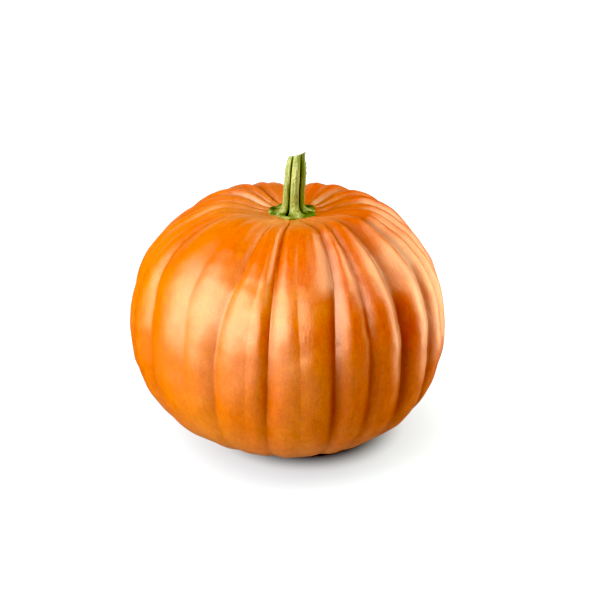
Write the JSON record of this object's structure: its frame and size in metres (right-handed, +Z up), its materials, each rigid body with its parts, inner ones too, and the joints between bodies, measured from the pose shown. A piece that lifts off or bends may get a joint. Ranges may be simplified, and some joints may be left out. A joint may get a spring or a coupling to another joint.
{
  "type": "pumpkin",
  "caption": "Ripe round pumpkin with a ribbed orange rind and a cut, ridged green stem, standing on its blossom end.",
  "frame": {"origin": "on the surface that the pumpkin stands on, under the middle of its bounding box", "axes": "+Z up, from the blossom end to the stem; -Y is the side that the reference picture shows as the front; +X is that picture's right"},
  "size_m": [0.2742, 0.2802, 0.2529],
  "materials": {
    "rind": "satin",
    "stem": "matte"
  },
  "bodies": {
    "root": {"fruit": "rind", "stem": "stem"}
  },
  "joints": []
}
